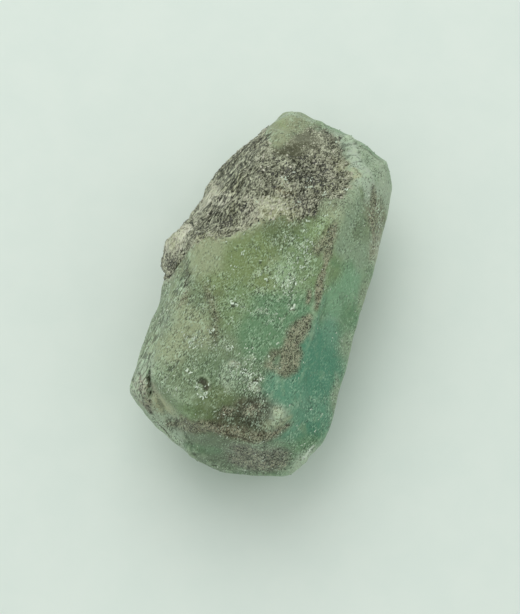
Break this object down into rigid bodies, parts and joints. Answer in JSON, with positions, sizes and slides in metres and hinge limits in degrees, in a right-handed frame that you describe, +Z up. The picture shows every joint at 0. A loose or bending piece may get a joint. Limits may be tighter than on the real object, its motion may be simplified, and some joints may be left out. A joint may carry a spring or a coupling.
{
  "type": "raw emerald crystal",
  "caption": "Stubby six-sided beryl prism lying on its side, green and cloudy, with grey mica schist over one end and worn, chipped edges.",
  "frame": {"origin": "centre of the bounding box's base, on the resting flat", "axes": "+Z up, +Y along the prism towards the end with the schist, +X towards the clear teal side"},
  "size_m": [0.0292, 0.0538, 0.0215],
  "materials": {
    "stone": "cloudy green beryl with a waxy shine, and dull grey-brown mica schist with bright flakes"
  },
  "bodies": {
    "root": {"emerald_crystal": "stone"}
  },
  "joints": []
}
